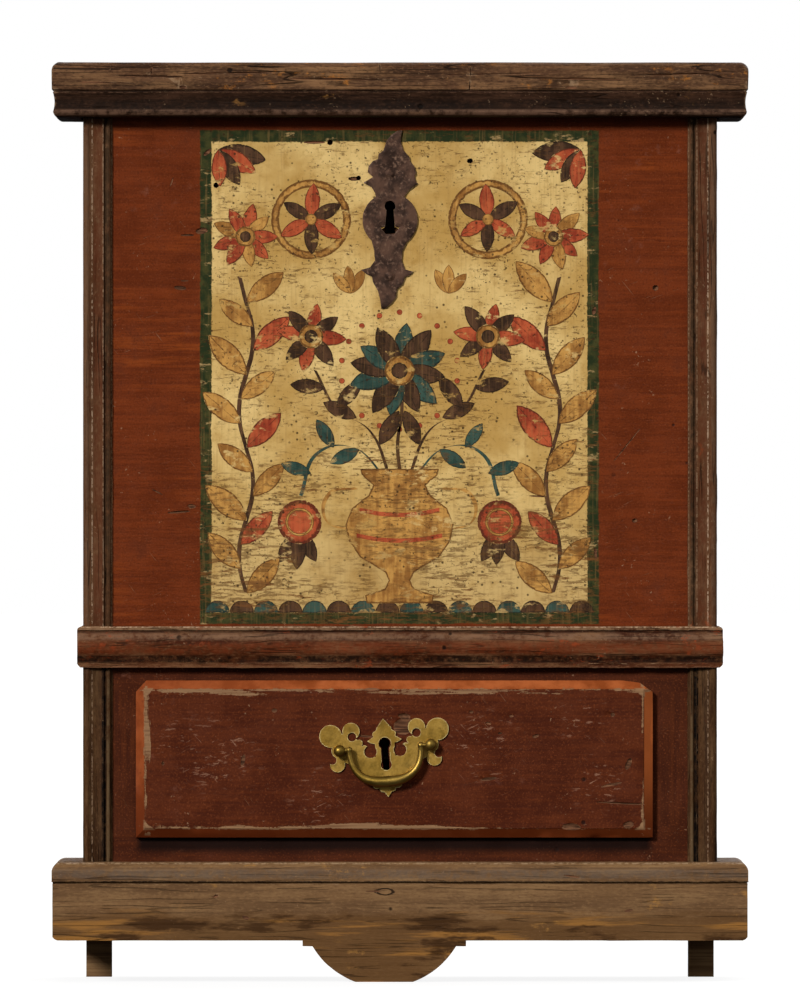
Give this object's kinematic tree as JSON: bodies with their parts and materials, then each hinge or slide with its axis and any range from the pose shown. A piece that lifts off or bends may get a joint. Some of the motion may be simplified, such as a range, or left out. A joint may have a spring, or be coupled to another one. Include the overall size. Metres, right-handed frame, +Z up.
{
  "type": "painted chest with drawer",
  "caption": "Small antique wooden chest: hinged lid over a painted front panel, moulded waist and base with a drop, and a lipped drawer with a brass bail pull",
  "frame": {"origin": "on the floor, under the middle of the whole object's box at rest", "axes": "+Z up; -Y towards the front with the drawer and key plate; +X to the right seen from the front"},
  "size_m": [0.488, 0.3234, 0.6438],
  "materials": {
    "red_paint": "old brick-red paint, worn to bare wood on the edges",
    "brown_stain": "dark brown stain with golden wear on the arrises",
    "bare_wood": "old unpainted softwood",
    "iron": "hammered wrought iron, dark brown-grey patina",
    "brass": "aged, rubbed bright on edges"
  },
  "bodies": {
    "case": {"side_left": "red_paint", "side_right": "red_paint", "front_board": "red_paint", "back_board_upper": "bare_wood", "back_board_lower": "bare_wood", "chest_floor": "bare_wood", "case_bottom": "bare_wood", "rail_upper": "red_paint", "rail_lower": "red_paint", "stile_left": "red_paint", "stile_right": "red_paint", "drawer_guide_left": "bare_wood", "drawer_guide_right": "bare_wood", "drawer_kicker_left": "bare_wood", "drawer_kicker_right": "bare_wood", "corner_moulding_upper_left": "brown_stain", "corner_moulding_upper_right": "brown_stain", "corner_moulding_lower_left": "brown_stain", "corner_moulding_lower_right": "brown_stain", "waist_moulding_front": "brown_stain", "waist_moulding_left": "brown_stain", "waist_moulding_right": "brown_stain", "base_front": "brown_stain", "base_left": "brown_stain", "base_right": "brown_stain", "rear_foot_left": "bare_wood", "rear_foot_right": "bare_wood", "key_plate": "iron", "key_plate_nails": "iron", "lock_plate": "iron", "lock_case": "iron", "lock_spring": "iron", "lock_nails": "iron", "hinge_leaf_left": "iron", "hinge_leaf_right": "iron", "hinge_pins": "iron", "hinge_leaf_nails": "iron", "back_nails": "iron"},
    "lid": {"lid_board": "brown_stain", "lid_moulding_front": "brown_stain", "lid_moulding_left": "brown_stain", "lid_moulding_right": "brown_stain", "hinge_strap_left": "iron", "hinge_strap_right": "iron", "lid_nails": "iron", "lid_staple": "iron"},
    "drawer": {"drawer_front": "red_paint", "drawer_side_left": "bare_wood", "drawer_side_right": "bare_wood", "drawer_back": "bare_wood", "drawer_bottom": "bare_wood", "pull_plate": "brass", "pull_posts": "brass", "pull_nuts": "brass", "drawer_lock_case": "iron"},
    "bail": {"pull_bail": "brass"},
    "chest_bolt": {"lock_bolt": "iron"},
    "drawer_bolt": {"drawer_lock_bolt": "iron"}
  },
  "joints": [
    {"name": "lid_hinge", "type": "hinge", "parent": "case", "child": "lid", "pos_m": [0, 0.1567, 0.6193], "axis": [-1, 0, 0], "range_deg": [0, 105]},
    {"name": "drawer_slide", "type": "slide", "parent": "case", "child": "drawer", "axis": [0, -1, 0], "range_m": [0, 0.2]},
    {"name": "bail_swing", "type": "hinge", "parent": "drawer", "child": "bail", "pos_m": [-0.0105, -0.1575, 0.164], "axis": [-0.9976, 0, -0.0698], "range_deg": [0, 120]},
    {"name": "chest_bolt_slide", "type": "slide", "parent": "case", "child": "chest_bolt", "axis": [-1, 0, 0], "range_m": [0, 0.012]},
    {"name": "drawer_bolt_slide", "type": "slide", "parent": "drawer", "child": "drawer_bolt", "axis": [0, 0, 1], "range_m": [0, 0.007]}
  ]
}
